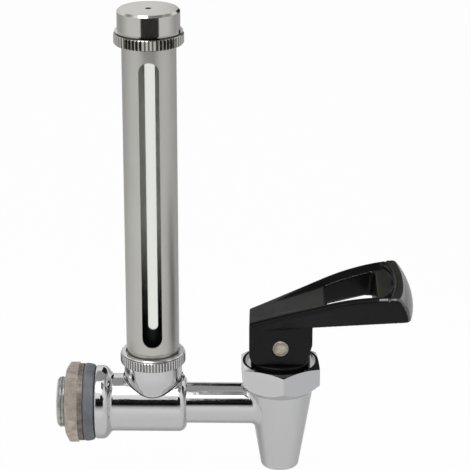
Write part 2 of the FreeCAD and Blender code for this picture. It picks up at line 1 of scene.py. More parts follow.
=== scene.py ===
import math

import bmesh
import bpy
from mathutils import Matrix, Vector


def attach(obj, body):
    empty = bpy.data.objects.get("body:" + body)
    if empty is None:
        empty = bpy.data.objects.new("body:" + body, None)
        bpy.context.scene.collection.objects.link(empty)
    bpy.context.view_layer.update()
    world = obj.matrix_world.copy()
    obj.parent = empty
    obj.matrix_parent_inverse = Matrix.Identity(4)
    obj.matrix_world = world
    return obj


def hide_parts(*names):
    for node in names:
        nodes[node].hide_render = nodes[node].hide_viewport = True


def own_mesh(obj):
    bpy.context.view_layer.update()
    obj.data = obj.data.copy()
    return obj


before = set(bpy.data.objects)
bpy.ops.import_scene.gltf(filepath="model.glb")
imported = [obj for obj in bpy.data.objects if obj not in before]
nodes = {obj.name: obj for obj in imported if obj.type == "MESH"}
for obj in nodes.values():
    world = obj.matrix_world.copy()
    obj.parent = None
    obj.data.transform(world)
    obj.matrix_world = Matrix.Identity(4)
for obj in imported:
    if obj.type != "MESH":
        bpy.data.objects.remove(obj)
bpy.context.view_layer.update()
print("frame loaded:", len(nodes), "solids")

mm = 0.001
gaugeX = 28.4  # upright axis of the gauge, mm from the bead flange
spoutX = 90.0  # upright axis of the spout
pinZ = 33.2  # height of the handle's pin
noiseLow, noiseHigh = 0.3, 0.7  # nearly all values of a noise texture lie between these


def toLinear(hexText, share=1.0):
    # sRGB hex to the linear colour that a shader takes, times a share
    parts = [int(hexText[i:i + 2], 16) / 255 for i in (1, 3, 5)]
    out = [p / 12.92 if p <= 0.04045 else ((p + 0.055) / 1.055) ** 2.4 for p in parts]
    return (*[c * share for c in out], 1.0)


def setInputs(node, values):
    # gives each input its value, or a link where the value is another node's output
    for key, value in values.items():
        if isinstance(value, bpy.types.NodeSocket):
            node.id_data.links.new(value, node.inputs[key])
        else:
            node.inputs[key].default_value = value


def addNode(tree, kind, settings=None, inputs=None):
    # adds a node, with its options and inputs
    node = tree.nodes.new(kind)
    for key, value in (settings or {}).items():
        setattr(node, key, value)
    setInputs(node, inputs or {})
    return node


def radiusAbout(tree, place, across, centre):
    # distance from an axis; across is 0 for the direction along it, and the centre is in mm
    offset = tuple(-c * mm for c in centre)
    flat = addNode(tree, "ShaderNodeVectorMath", {"operation": "MULTIPLY_ADD"}, {
        0: place, 1: across, 2: offset})
    length = addNode(tree, "ShaderNodeVectorMath", {"operation": "LENGTH"}, {0: flat.outputs["Vector"]})
    return length.outputs["Value"]


def newMaterial(name):
    material = bpy.data.materials.new(name)
    material.use_nodes = True
    tree = material.node_tree
    shader = tree.nodes["Principled BSDF"]
    return material, tree, shader


def newPiece(name, data):
    piece = bpy.data.objects.new(name, data)
    bpy.context.scene.collection.objects.link(piece)
    return piece


def newMesh(name, points, faces):
    # mesh from points in mm
    mesh = bpy.data.meshes.new(name)
    mesh.from_pydata([[c * mm for c in point] for point in points], [], faces)
    return mesh


def newPanel(name, corners):
    # flat four-cornered sheet, corners in mm
    return newPiece(name, newMesh(name, corners, [(0, 1, 2, 3)]))


def gridFaces(rows, width, joinRows=False, joinAcross=False):
    # faces between neighbouring rows of points, closed to a tube or a ring where joined
    faces = []
    for i in range(rows if joinRows else rows - 1):
        j = (i + 1) % rows
        for k in range(width if joinAcross else width - 1):
            m = (k + 1) % width
            faces.append((i * width + k, i * width + m, j * width + m, j * width + k))
    return faces


cameraView = {
    "location": (84.24, -977.31, 449.53),  # mm
    "right": (0.99986, 0.01658, 0.0),
    "up": (-0.00576, 0.34754, 0.93765),
    "forward": (-0.01555, 0.93752, -0.34759),
    "lens": 168.5,
    "sensor": 36.0,
    "clip": (50.0, 20000.0),  # mm
}


def makeCamera(view):
    data = bpy.data.cameras.new("camera")
    camera = newPiece("camera", data)
    right, up, forward = (Vector(view[k]) for k in ("right", "up", "forward"))
    turn = Matrix((right, up, -forward)).transposed().to_4x4()
    camera.matrix_world = Matrix.Translation(Vector(view["location"]) * mm) @ turn
    data.lens = view["lens"]
    data.sensor_width = view["sensor"]
    data.clip_start, data.clip_end = (c * mm for c in view["clip"])
    bpy.context.scene.camera = camera


makeCamera(cameraView)
print("camera set")


studio = {
    "tentLow": (0.72, 0.72, 0.72, 1),  # brightness of the white tent level with the object
    "tentHigh": (1.05, 1.05, 1.05, 1),
    "tentTop": 0.8,  # upward share of a direction where the tent is brightest
    "dimBehind": (-0.1, 0.12),  # backward share of a direction, over which the tent turns grey
    "dimAbove": (0.58, 0.72),  # upward share, likewise
    "dimLevel": 0.36,
    "floorZ": -46.0,  # mm, the spout hangs clear of the floor
    "floorReach": 6000.0,
    "floorDepth": (-200.0, 350.0),  # mm, from the near tone to the far one
    "floorNear": "#e9e9e8",
    "floorFarShade": "#bdbdbc",  # painted shade behind the object, seen only in the upright metal's edges
    "floorWhite": 0.97,  # share of the camera's floor that is plain white
    "shadePatchX": (0.0, 500.0),  # mm, span of the four places below
    "shadePatchPlaces": (0.26, 0.44, 0.6, 0.88),  # painted shade, cooler and duller, right of the spout
    "shadePatchTone": (0.86, 0.87, 0.89, 1),
    "cardX": (-470.0, 645.0),  # mm, black card in front, seen only in reflections
    "cardY": -800.0,
    "cardZ": (-44.0, 545.0),
    "cardFade": (10.0, 170.0),  # mm, the card comes in over this height
    "armCardX": (12.0, 645.0),  # further cards above and behind, mirrored mostly in the arm
    "armCardTop": 770.0,
    "roofCardY": (-440.0, 0.0),
    "roofCardZ": 900.0,
    "backCardZ": (190.0, 900.0),
    "capCardR": 240.0,  # low card bent round the gauge, mirrored mostly in the cap
    "capCardZ": (104.0, 152.0),
    "capCardTurn": (-25.0, 40.0),  # degrees
    "capCardSteps": 13,
    "softboxSize": 0.72,  # metres
    "softboxPower": 4.0,  # watts
    "softboxPlace": (-0.02, -0.37, 1.07),  # metres
    "softboxAim": (0.06, 0.0, 0.05),
}


def seenDirectly(tree):
    # 1 where the camera looks straight at something or through the glass
    paths = addNode(tree, "ShaderNodeLightPath")
    seen = addNode(tree, "ShaderNodeMath", {"operation": "MAXIMUM"}, {
        0: paths.outputs["Is Camera Ray"], 1: paths.outputs["Is Transmission Ray"]})
    return seen.outputs["Value"]


def makeWorld(settings):
    # white tent: light from the front, grey high behind, plain white to the camera
    world = bpy.data.worlds.new("tent")
    bpy.context.scene.world = world
    world.use_nodes = True
    tree = world.node_tree
    tree.nodes.clear()
    coords = addNode(tree, "ShaderNodeTexCoord")
    axes = addNode(tree, "ShaderNodeSeparateXYZ", inputs={"Vector": coords.outputs["Generated"]})
    height = addNode(tree, "ShaderNodeValToRGB", inputs={"Fac": axes.outputs["Z"]})
    low, high = height.color_ramp.elements
    low.position, low.color = 0.0, settings["tentLow"]
    high.position, high.color = settings["tentTop"], settings["tentHigh"]
    dimFrom, dimTo = settings["dimBehind"]
    behind = addNode(tree, "ShaderNodeMapRange", {"interpolation_type": "SMOOTHSTEP"}, {
        "Value": axes.outputs["Y"], "From Min": dimFrom, "From Max": dimTo})
    dimFrom, dimTo = settings["dimAbove"]
    above = addNode(tree, "ShaderNodeMapRange", {"interpolation_type": "SMOOTHSTEP"}, {
        "Value": axes.outputs["Z"], "From Min": dimFrom, "From Max": dimTo})
    both = addNode(tree, "ShaderNodeMath", {"operation": "MULTIPLY"}, {
        0: behind.outputs["Result"], 1: above.outputs["Result"]})
    level = addNode(tree, "ShaderNodeMapRange", inputs={
        "Value": both.outputs["Value"], "To Min": 1.0, "To Max": settings["dimLevel"]})
    dimmed = addNode(tree, "ShaderNodeVectorMath", {"operation": "SCALE"}, {
        0: height.outputs["Color"], "Scale": level.outputs["Result"]})
    room = addNode(tree, "ShaderNodeBackground", inputs={"Color": dimmed.outputs["Vector"]})
    white = addNode(tree, "ShaderNodeBackground", inputs={"Color": (1, 1, 1, 1)})
    mixed = addNode(tree, "ShaderNodeMixShader", inputs={
        0: seenDirectly(tree), 1: room.outputs[0], 2: white.outputs[0]})
    addNode(tree, "ShaderNodeOutputWorld", inputs={"Surface": mixed.outputs[0]})


def makeFloor(settings):
    # pale paper with painted shade, darker towards the back and in a cooler area right of the spout; reads
    # white to the camera and keeps a faint shadow
    reach, z = settings["floorReach"], settings["floorZ"]
    corners = [(-reach, -reach, z), (reach, -reach, z), (reach, reach, z), (-reach, reach, z)]
    floor = newPanel("floor", corners)
    material, tree, shader = newMaterial("paperSweep")
    coords = addNode(tree, "ShaderNodeTexCoord")
    axes = addNode(tree, "ShaderNodeSeparateXYZ", inputs={"Vector": coords.outputs["Object"]})
    near, far = settings["floorDepth"]
    depth = addNode(tree, "ShaderNodeMapRange", inputs={
        "Value": axes.outputs["Y"], "From Min": near * mm, "From Max": far * mm})
    tone = addNode(tree, "ShaderNodeMix", {"data_type": "RGBA"}, {
        0: depth.outputs["Result"], 6: toLinear(settings["floorNear"]), 7: toLinear(settings["floorFarShade"])})
    # painted shade right of the spout: a cooler grey multiplied into the paper's tone
    left, right = settings["shadePatchX"]
    across = addNode(tree, "ShaderNodeMapRange", inputs={
        "Value": axes.outputs["X"], "From Min": left * mm, "From Max": right * mm})
    shadePatch = addNode(tree, "ShaderNodeValToRGB", inputs={"Fac": across.outputs["Result"]})
    starts, full, fades, ends = settings["shadePatchPlaces"]
    first, last = shadePatch.color_ramp.elements
    first.position, first.color = starts, (1, 1, 1, 1)
    last.position, last.color = ends, (1, 1, 1, 1)
    for position in (full, fades):
        shadePatch.color_ramp.elements.new(position).color = settings["shadePatchTone"]
    toned = addNode(tree, "ShaderNodeVectorMath", {"operation": "MULTIPLY"}, {
        0: tone.outputs[2], 1: shadePatch.outputs["Color"]})
    setInputs(shader, {"Base Color": toned.outputs["Vector"], "Roughness": 0.9, "Specular IOR Level": 0.1})
    share = addNode(tree, "ShaderNodeMath", {"operation": "MULTIPLY"}, {
        0: seenDirectly(tree), 1: settings["floorWhite"]})
    white = addNode(tree, "ShaderNodeEmission", inputs={"Color": (1, 1, 1, 1), "Strength": 1.0})
    mixed = addNode(tree, "ShaderNodeMixShader", inputs={
        0: share.outputs["Value"], 1: shader.outputs[0], 2: white.outputs[0]})
    setInputs(tree.nodes["Material Output"], {"Surface": mixed.outputs[0]})
    floor.data.materials.append(material)


def newMatt(name, colour):
    # dead matt sheet: nothing but its tone shows in the metal
    material, tree, shader = newMaterial(name)
    setInputs(shader, {"Base Color": toLinear(colour), "Roughness": 1.0, "Specular IOR Level": 0.0})
    return material


def fadeIn(material, span):
    # clear below the span and solid above it, so that the band in the metal has one soft edge
    tree = material.node_tree
    coords = addNode(tree, "ShaderNodeTexCoord")
    axes = addNode(tree, "ShaderNodeSeparateXYZ", inputs={"Vector": coords.outputs["Object"]})
    solid = addNode(tree, "ShaderNodeMapRange", inputs={
        "Value": axes.outputs["Z"], "From Min": span[0] * mm, "From Max": span[1] * mm})
    clear = addNode(tree, "ShaderNodeBsdfTransparent")
    mixed = addNode(tree, "ShaderNodeMixShader", inputs={
        0: solid.outputs["Result"], 1: clear.outputs[0], 2: tree.nodes["Principled BSDF"].outputs[0]})
    setInputs(tree.nodes["Material Output"], {"Surface": mixed.outputs[0]})


def makeCards(settings):
    # cards that only the metal mirrors, for its dark bands; they cast no shadow
    black, cloth, grey = (newMatt(*kind) for kind in (
        ("blackCard", "#0c0d10"), ("darkCloth", "#262625"), ("greyCard", "#a6a6a6")))
    fadeIn(black, settings["cardFade"])

    def newCard(name, spanX, y, spanZ):
        (x0, x1), (z0, z1) = spanX, spanZ
        return newPanel(name, [(x0, y, z0), (x1, y, z0), (x1, y, z1), (x0, y, z1)])

    y, top = settings["cardY"], settings["cardZ"][1]
    card = newCard("blackCard", settings["cardX"], y, settings["cardZ"])
    reach, steps = settings["capCardR"], settings["capCardSteps"]
    first, last = (math.radians(turn) for turn in settings["capCardTurn"])
    turns = [first + (last - first) * i / steps for i in range(steps + 1)]
    points = [(gaugeX + reach * math.sin(turn), -reach * math.cos(turn), z)
              for turn in turns for z in settings["capCardZ"]]
    bent = newPiece("capCard", newMesh("capCard", points, gridFaces(steps + 1, 2)))
    spanX = settings["armCardX"]
    tall = newCard("tallCard", spanX, y, (top, settings["armCardTop"]))
    (x0, x1), (y0, y1), z = spanX, settings["roofCardY"], settings["roofCardZ"]
    roof = newPanel("roofCard", [(x0, y0, z), (x1, y0, z), (x1, y1, z), (x0, y1, z)])
    back = newCard("backCard", spanX, -y, settings["backCardZ"])
    for sheet, material in ((card, black), (bent, cloth), (tall, black), (roof, grey), (back, cloth)):
        sheet.data.materials.append(material)
        sheet.visible_camera = False
        sheet.visible_diffuse = False
        sheet.visible_transmission = False
        sheet.visible_shadow = False


def makeSoftbox(settings):
    data = bpy.data.lights.new("softbox", "AREA")
    data.shape = "SQUARE"
    data.size = settings["softboxSize"]
    data.energy = settings["softboxPower"]
    lamp = newPiece("softbox", data)
    lamp.location = settings["softboxPlace"]
    lamp.rotation_mode = "QUATERNION"
    lamp.rotation_quaternion = (Vector(settings["softboxAim"]) - lamp.location).to_track_quat("-Z", "Y")


bpy.context.scene.view_settings.view_transform = "Standard"
makeWorld(studio)
makeFloor(studio)
makeCards(studio)
makeSoftbox(studio)
print("studio set")


def makeChromePlate():
    # chrome-plated cast brass, polished: mirror-like, with a faint waviness of the casting under it
    material, tree, shader = newMaterial("chromePlatedBrass")
    coords = addNode(tree, "ShaderNodeTexCoord")
    waves = addNode(tree, "ShaderNodeTexNoise", inputs={
        "Vector": coords.outputs["Object"], "Scale": 1 / (9.09 * mm), "Detail": 2.0})  # the casting's swells
    pores = addNode(tree, "ShaderNodeTexNoise", inputs={
        "Vector": coords.outputs["Object"], "Scale": 1 / (0.625 * mm), "Detail": 3.0})  # orange peel
    swell = addNode(tree, "ShaderNodeBump", inputs={
        "Height": waves.outputs["Fac"], "Strength": 0.1, "Distance": 0.6 * mm})
    bump = addNode(tree, "ShaderNodeBump", inputs={
        "Height": pores.outputs["Fac"], "Strength": 0.05, "Distance": 0.04 * mm,
        "Normal": swell.outputs["Normal"]})
    dull = addNode(tree, "ShaderNodeMapRange", inputs={
        "Value": waves.outputs["Fac"], "From Min": noiseLow, "From Max": noiseHigh,
        "To Min": 0.06, "To Max": 0.11})
    setInputs(shader, {"Base Color": toLinear("#d3d3d4"), "Metallic": 1.0,
                       "Roughness": dull.outputs["Result"], "Normal": bump.outputs["Normal"]})
    return material


def shadeKnurl(tree, place, surface, knurl):
    # painted shade in the roots of an upright knurl round the gauge: upright faces there are darkened
    # towards a dark colour
    crest, depth = knurl["crestR"], knurl["depth"]
    radius = radiusAbout(tree, place, (1, 1, 0), (gaugeX, 0, 0))
    deep = addNode(tree, "ShaderNodeMapRange", inputs={
        "Value": radius, "From Min": (crest - depth * 0.9) * mm, "From Max": (crest - depth * 0.25) * mm,
        "To Min": 1.0, "To Max": 0.0})
    outside = addNode(tree, "ShaderNodeMath", {"operation": "GREATER_THAN"}, {
        0: radius, 1: (crest - depth * 1.1) * mm})
    skin = addNode(tree, "ShaderNodeNewGeometry")
    facing = addNode(tree, "ShaderNodeSeparateXYZ", inputs={"Vector": skin.outputs["Normal"]})
    upright = addNode(tree, "ShaderNodeMath", {"operation": "COMPARE"}, {
        0: facing.outputs["Z"], 1: 0.0, 2: 0.5})
    inRoot = addNode(tree, "ShaderNodeMath", {"operation": "MULTIPLY"}, {
        0: deep.outputs["Result"], 1: outside.outputs["Value"]})
    share = addNode(tree, "ShaderNodeMath", {"operation": "MULTIPLY"}, {
        0: inRoot.outputs["Value"], 1: upright.outputs["Value"]})
    # painted shade: the colour turns dark towards the roots
    rootShaded = addNode(tree, "ShaderNodeMix", {"data_type": "RGBA"}, {
        0: share.outputs["Value"], 6: surface, 7: toLinear(knurl["rootShade"])})
    return rootShaded.outputs[2]


def roughenAndShadeBore(tree, place, surface, roughness, bore):
    # rough drawn skin inside a tube round the gauge, with painted shade that darkens it towards the bottom
    radius = radiusAbout(tree, place, (1, 1, 0), (gaugeX, 0, 0))
    inBore = addNode(tree, "ShaderNodeMath", {"operation": "LESS_THAN"}, {0: radius, 1: bore["r"] * mm})
    axes = addNode(tree, "ShaderNodeSeparateXYZ", inputs={"Vector": place})
    shadeLow, shadeHigh = bore["shadeZ"]
    unshaded = addNode(tree, "ShaderNodeMapRange", {"interpolation_type": "SMOOTHSTEP"}, {
        "Value": axes.outputs["Z"], "From Min": shadeLow * mm, "From Max": shadeHigh * mm})
    # painted shade: dark at the bottom of the bore, pale above
    skin = addNode(tree, "ShaderNodeMix", {"data_type": "RGBA"}, {
        0: unshaded.outputs["Result"], 6: toLinear(bore["shadedBottom"]), 7: toLinear(bore["unshaded"])})
    pale = addNode(tree, "ShaderNodeMix", {"data_type": "RGBA"}, {
        0: inBore.outputs["Value"], 6: surface, 7: skin.outputs[2]})
    dull = addNode(tree, "ShaderNodeMix", {"data_type": "FLOAT"}, {
        0: inBore.outputs["Value"], 2: roughness, 3: bore["rough"]})
    return pale.outputs[2], dull.outputs[0]


def makeTurnedSteel(name, colour, rough, knurl=None, bore=None):
    # stainless tube and bar, turned and satin finished: soft reflections and faint rings
    material, tree, shader = newMaterial(name)
    place = addNode(tree, "ShaderNodeTexCoord").outputs["Object"]
    rings = addNode(tree, "ShaderNodeMapping", inputs={
        "Vector": place, "Scale": (6.0, 6.0, 1 / (0.3846 * mm))})  # ring spacing, real ones near 0.1 mm
    marks = addNode(tree, "ShaderNodeTexNoise", inputs={
        "Vector": rings.outputs["Vector"], "Scale": 1.0, "Detail": 2.0})
    blotch = addNode(tree, "ShaderNodeTexNoise", inputs={
        "Vector": place, "Scale": 1 / (16.67 * mm), "Detail": 3.0})  # faint clouds from handling
    tone = addNode(tree, "ShaderNodeValToRGB", inputs={"Fac": blotch.outputs["Fac"]})
    dark, light = tone.color_ramp.elements
    dark.position, dark.color = 0.35, toLinear(colour, 0.96)
    light.position, light.color = 0.65, toLinear(colour)
    dull = addNode(tree, "ShaderNodeMapRange", inputs={
        "Value": marks.outputs["Fac"], "From Min": noiseLow, "From Max": noiseHigh,
        "To Min": rough - 0.03, "To Max": rough + 0.04})
    bump = addNode(tree, "ShaderNodeBump", inputs={
        "Height": marks.outputs["Fac"], "Strength": 0.06, "Distance": 0.04 * mm})
    surface, roughness = tone.outputs["Color"], dull.outputs["Result"]
    if knurl:
        surface = shadeKnurl(tree, place, surface, knurl)
    if bore:
        surface, roughness = roughenAndShadeBore(tree, place, surface, roughness, bore)
    setInputs(shader, {"Base Color": surface, "Metallic": 1.0,
                       "Roughness": roughness, "Normal": bump.outputs["Normal"]})
    return material


def makeNickel(name, colour, shade, rough):
    # nickel-plated brass, tumbled: warm grey, mottled, with small dents that catch the light
    material, tree, shader = newMaterial(name)
    coords = addNode(tree, "ShaderNodeTexCoord")
    patches = addNode(tree, "ShaderNodeTexNoise", inputs={
        "Vector": coords.outputs["Object"], "Scale": 1 / (3.03 * mm), "Detail": 4.0, "Roughness": 0.6})
    dents = addNode(tree, "ShaderNodeTexVoronoi", inputs={
        "Vector": coords.outputs["Object"], "Scale": 1 / (1.111 * mm)})
    tone = addNode(tree, "ShaderNodeValToRGB", inputs={"Fac": patches.outputs["Fac"]})
    dark, light = tone.color_ramp.elements
    dark.position, dark.color = 0.36, toLinear(shade)
    light.position, light.color = 0.62, toLinear(colour)
    dull = addNode(tree, "ShaderNodeMapRange", inputs={
        "Value": patches.outputs["Fac"], "From Min": noiseLow, "From Max": noiseHigh,
        "To Min": rough + 0.08, "To Max": rough - 0.08})
    bump = addNode(tree, "ShaderNodeBump", inputs={
        "Height": dents.outputs["Distance"], "Strength": 0.35, "Distance": 0.08 * mm})
    setInputs(shader, {"Base Color": tone.outputs["Color"], "Metallic": 1.0,
                       "Roughness": dull.outputs["Result"], "Normal": bump.outputs["Normal"]})
    return material


def makeSilicone(name, colour, shade):
    # moulded silicone: soft sheen, a slight cloudiness and fine dust on the skin
    material, tree, shader = newMaterial(name)
    coords = addNode(tree, "ShaderNodeTexCoord")
    cloud = addNode(tree, "ShaderNodeTexNoise", inputs={
        "Vector": coords.outputs["Object"], "Scale": 1 / (7.143 * mm), "Detail": 4.0})
    dust = addNode(tree, "ShaderNodeTexNoise", inputs={
        "Vector": coords.outputs["Object"], "Scale": 1 / (0.4545 * mm), "Detail": 2.0})
    tone = addNode(tree, "ShaderNodeValToRGB", inputs={"Fac": cloud.outputs["Fac"]})
    dark, light = tone.color_ramp.elements
    dark.position, dark.color = 0.34, toLinear(shade)
    light.position, light.color = 0.66, toLinear(colour)
    bump = addNode(tree, "ShaderNodeBump", inputs={
        "Height": dust.outputs["Fac"], "Strength": 0.2, "Distance": 0.05 * mm})
    setInputs(shader, {"Base Color": tone.outputs["Color"], "Roughness": 0.5,
                       "Subsurface Weight": 0.08, "Subsurface Scale": 2 * mm,
                       "Normal": bump.outputs["Normal"]})
    return material


def makeAcetal(name, colour, rough, grainStrength, gloss, coat=0.0):
    # injection-moulded black acetal: deep black, half-gloss, with a fine spark-eroded grain
    material, tree, shader = newMaterial(name)
    coords = addNode(tree, "ShaderNodeTexCoord")
    grain = addNode(tree, "ShaderNodeTexNoise", inputs={
        "Vector": coords.outputs["Object"], "Scale": 1 / (0.4167 * mm), "Detail": 2.0})  # real: 0.1 mm
    wear = addNode(tree, "ShaderNodeTexNoise", inputs={
        "Vector": coords.outputs["Object"], "Scale": 1 / (8.333 * mm), "Detail": 5.0, "Roughness": 0.65})
    tone = addNode(tree, "ShaderNodeValToRGB", inputs={"Fac": wear.outputs["Fac"]})
    dark, light = tone.color_ramp.elements
    dark.position, dark.color = 0.35, toLinear(colour, 0.8)
    light.position, light.color = 0.7, toLinear(colour, 1.15)
    dull = addNode(tree, "ShaderNodeMapRange", inputs={
        "Value": wear.outputs["Fac"], "From Min": noiseLow, "From Max": noiseHigh,
        "To Min": rough - 0.05, "To Max": rough + 0.06})
    bump = addNode(tree, "ShaderNodeBump", inputs={
        "Height": grain.outputs["Fac"], "Strength": grainStrength, "Distance": 0.05 * mm})
    setInputs(shader, {"Base Color": tone.outputs["Color"], "Roughness": dull.outputs["Result"],
                       "IOR": 1.48, "Specular IOR Level": gloss, "Coat Weight": coat, "Coat Roughness": 0.1,
                       "Normal": bump.outputs["Normal"]})
    return material


def makeGlass():
    # drawn borosilicate tube: clear, with faint draw lines along it
    material, tree, shader = newMaterial("borosilicateGlass")
    coords = addNode(tree, "ShaderNodeTexCoord")
    lines = addNode(tree, "ShaderNodeMapping", inputs={
        "Vector": coords.outputs["Object"], "Scale": (1 / (1.43 * mm), 1 / (1.43 * mm), 1 / (125 * mm))})
    draw = addNode(tree, "ShaderNodeTexNoise", inputs={"Vector": lines.outputs["Vector"], "Scale": 1.0})
    bump = addNode(tree, "ShaderNodeBump", inputs={
        "Height": draw.outputs["Fac"], "Strength": 0.05, "Distance": 0.03 * mm})
    setInputs(shader, {"Base Color": toLinear("#f0f1ee"), "Roughness": 0.02,
                       "IOR": 1.17,  # low, as the thin wall bends the view very little
                       "Transmission Weight": 1.0, "Normal": bump.outputs["Normal"]})
    return material


pinGrooveShade = {"r": 3.15, "half": 0.16, "colour": "#7d766a"}  # mm, near the pin's rim; the colour is painted shade


def addPinGrooveShade(material, groove):
    # a thin dark ring on the pin's face: painted shade of a shallow turned groove, which the mesh doesn't
    # have
    tree = material.node_tree
    shader = tree.nodes["Principled BSDF"]
    coords = addNode(tree, "ShaderNodeTexCoord")
    radius = radiusAbout(tree, coords.outputs["Object"], (1, 0, 1), (spoutX, 0, pinZ))
    inGrooveShade = addNode(tree, "ShaderNodeMath", {"operation": "COMPARE"}, {
        0: radius, 1: groove["r"] * mm, 2: groove["half"] * mm})
    surface = shader.inputs["Base Color"].links[0].from_socket
    shaded = addNode(tree, "ShaderNodeMix", {"data_type": "RGBA"}, {
        0: inGrooveShade.outputs["Value"], 6: surface, 7: toLinear(groove["colour"])})
    setInputs(shader, {"Base Color": shaded.outputs[2]})


shieldBore = {
    "r": 12.0,  # mm, between the tube's inner and outer radius
    "rough": 0.75,
    "shadeZ": (34.0, 95.0),  # mm, over this height the painted shade inside the tube fades out upwards
    "shadedBottom": "#5a5a58",
    "unshaded": "#fbfbfa",
}
# the last colour in each is painted shade in the knurl's roots
capKnurl = {"crestR": 16.3, "depth": 0.5, "rootShade": "#4a4844"}  # mm
ringKnurl = {"crestR": 15.7, "depth": 0.45, "rootShade": "#5c5b58"}

chrome = makeChromePlate()
# dark chrome for the painted shade line where the boss meets the barrel
shadeLineChrome = makeNickel("paintedShadeChromePlate", "#3e3e42", "#26262a", 0.3)
satinSteel = makeTurnedSteel("turnedStainless", "#cac9c4", 0.4, bore=shieldBore)
capSteel = makeTurnedSteel("turnedStainlessBright", "#cfcdc8", 0.12, knurl=capKnurl)
ringSteel = makeTurnedSteel("knurledStainlessRing", "#d6d6d5", 0.16, knurl=ringKnurl)
springWire = makeTurnedSteel("drawnSpringWire", "#b4b4b2", 0.3)
nutNickel = makeNickel("tumbledNickelPlate", "#d0c5bb", "#b2a79d", 0.46)
washerNickel = makeNickel("stampedNickelPlate", "#958e85", "#78716a", 0.6)
threadNickel = makeNickel("rolledThreadPlate", "#c2c2c0", "#8f8f8d", 0.36)
pinNickel = makeNickel("facedNickelPlate", "#c3baab", "#9f9789", 0.38)
greySilicone = makeSilicone("greySilicone", "#6f7378", "#585b61")
paleSilicone = makeSilicone("paleSilicone", "#d9d9d4", "#c6c6bf")
acetal = makeAcetal("mouldedAcetal", "#0e0e0f", 0.3, 0.12, 0.2)
# darker, less glossy copy of the acetal for the lever's top faces: painted shade
shadedRailAcetal = makeAcetal("shadedRailAcetal", "#0b0b0b", 0.34, 0.15, 0.07)
etchedAcetal = makeAcetal("etchedAcetal", "#24241f", 0.5, 0.5, 0.14)
# glossy and coated, with a base lighter than the acetal's black: real gloss with a painted highlight, for
# the end face and edge lines
glossHighlightAcetal = makeAcetal("glossHighlightAcetal", "#303030", 0.16, 0.05, 1.0, coat=0.7)
glass = makeGlass()
addPinGrooveShade(pinNickel, pinGrooveShade)

finishes = {
    "spigot_body": chrome,
    "tank_gasket": greySilicone,
    "tank_washer": washerNickel,
    "lock_nut": nutNickel,
    "union_ring": ringSteel,
    "gauge_shield": satinSteel,
    "gauge_glass": glass,
    "lower_glass_washer": paleSilicone,
    "upper_glass_washer": paleSilicone,
    "gauge_cap": capSteel,
    "bonnet": acetal,
    "seat_cup": paleSilicone,
    "valve_stem": pinNickel,
    "stem_spring": springWire,
    "handle_pin": pinNickel,
    "handle": acetal,
}

for name, piece in nodes.items():
    if not piece.data.materials:
        piece.data.materials.append(finishes[name])
    for place in piece.material_slots:
        place.material = finishes[name]
print("materials set")


# mm, X and Y from the spout's axis
lever = {
    "voxel": 0.42,  # grid that the moulded shape is laid over
    "smoothing": 8,  # passes that round the edges to about 1 mm
    "lineX": 54.0,  # groove across the lever's end
    "lineCurve": 0.0055,  # per mm, how much the groove bows back at the sides
    "lineHalf": 0.55,
    "lineDepth": 0.55,
    "lineLowZ": 55.0,
    "lineFacing": 0.25,  # upward share of the surface's direction
    "ribStep": 1.25,  # in front of the groove, a low rib
    "ribHalf": 0.6,
    "ribHeight": 0.3,
    "topZ": 45.0,  # the top face lies above this
    "floorX": (-3.0, 52.5),  # sunk floor round the window, etched
    "floorHalf": 7.6,
    "flare": 0.2155,  # per mm, how fast the lever widens to one side
    "endFaceX": 55.0,
    "endPanelX": 55.4,  # etched panel beyond the groove
    "highlightFarX": (22.0, 44.0),  # edge along the window's far side, glossy and lighter: painted highlight line
    "highlightFarHalf": 8.0,
    "highlightBackX": (19.5, 23.0),  # edge at the window's back, likewise a painted highlight line
    "highlightBackHalf": 11.0,
    "highlightCrestX": (46.0, 57.0),  # end of the near rail's crest, likewise a painted highlight line
    "highlightCrestY": -10.0,
}


def copyShape(name, newName):
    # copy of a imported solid's mesh as a piece of its own
    mesh = nodes[name].data.copy()
    mesh.name = newName
    mesh.materials.clear()
    return newPiece(newName, mesh)


def bakeModifiers(piece):
    graph = bpy.context.evaluated_depsgraph_get()
    mesh = bpy.data.meshes.new_from_object(piece.evaluated_get(graph))
    piece.modifiers.clear()
    piece.data = mesh
    return mesh


def isHighlightEdge(x, y, normal, settings):
    # edges that get the glossy, lighter finish: painted highlight lines
    (farFrom, farTo), (backFrom, backTo) = settings["highlightFarX"], settings["highlightBackX"]
    crestFrom, crestTo = settings["highlightCrestX"]
    farSide = farFrom < x < farTo and 0 < y < settings["highlightFarHalf"] + settings["flare"] * x
    backSide = backFrom < x < backTo and abs(y) < settings["highlightBackHalf"]
    crestEnd = crestFrom < x < crestTo and y < settings["highlightCrestY"]
    return (farSide and normal.y < -0.3) or (backSide and normal.x > 0.3) or (crestEnd and normal.y < -0.35)


leverFinishes = [acetal, etchedAcetal, shadedRailAcetal, glossHighlightAcetal]
mouldedSkin, etchedSkin, shadedRailSkin, glossHighlightSkin = range(4)  # places in that list


def leverSkin(face, settings):
    # which of the lever's finishes a face has, from its place and from how far it turns up or forward
    x, y, z = face.center.x / mm - spoutX, face.center.y / mm, face.center.z / mm
    normal = face.normal
    onTop = z > settings["topZ"]
    floorFrom, floorTo = settings["floorX"]
    onFloor = floorFrom < x < floorTo and abs(y) < settings["floorHalf"] + settings["flare"] * x
    if onFloor and onTop and normal.z > 0.8:
        return etchedSkin
    # end face: real gloss, with the lighter base as painted highlight
    if normal.x > 0.45 and x > settings["endFaceX"]:
        return glossHighlightSkin
    if onTop and 0.3 < normal.z < 0.9 and isHighlightEdge(x, y, normal, settings):
        return glossHighlightSkin
    if normal.z > 0.5 and x > settings["endPanelX"] - settings["lineCurve"] * y * y:
        return etchedSkin
    # top faces take the darker copy as painted shade
    if onTop and normal.z > 0.6:
        return shadedRailSkin
    return mouldedSkin


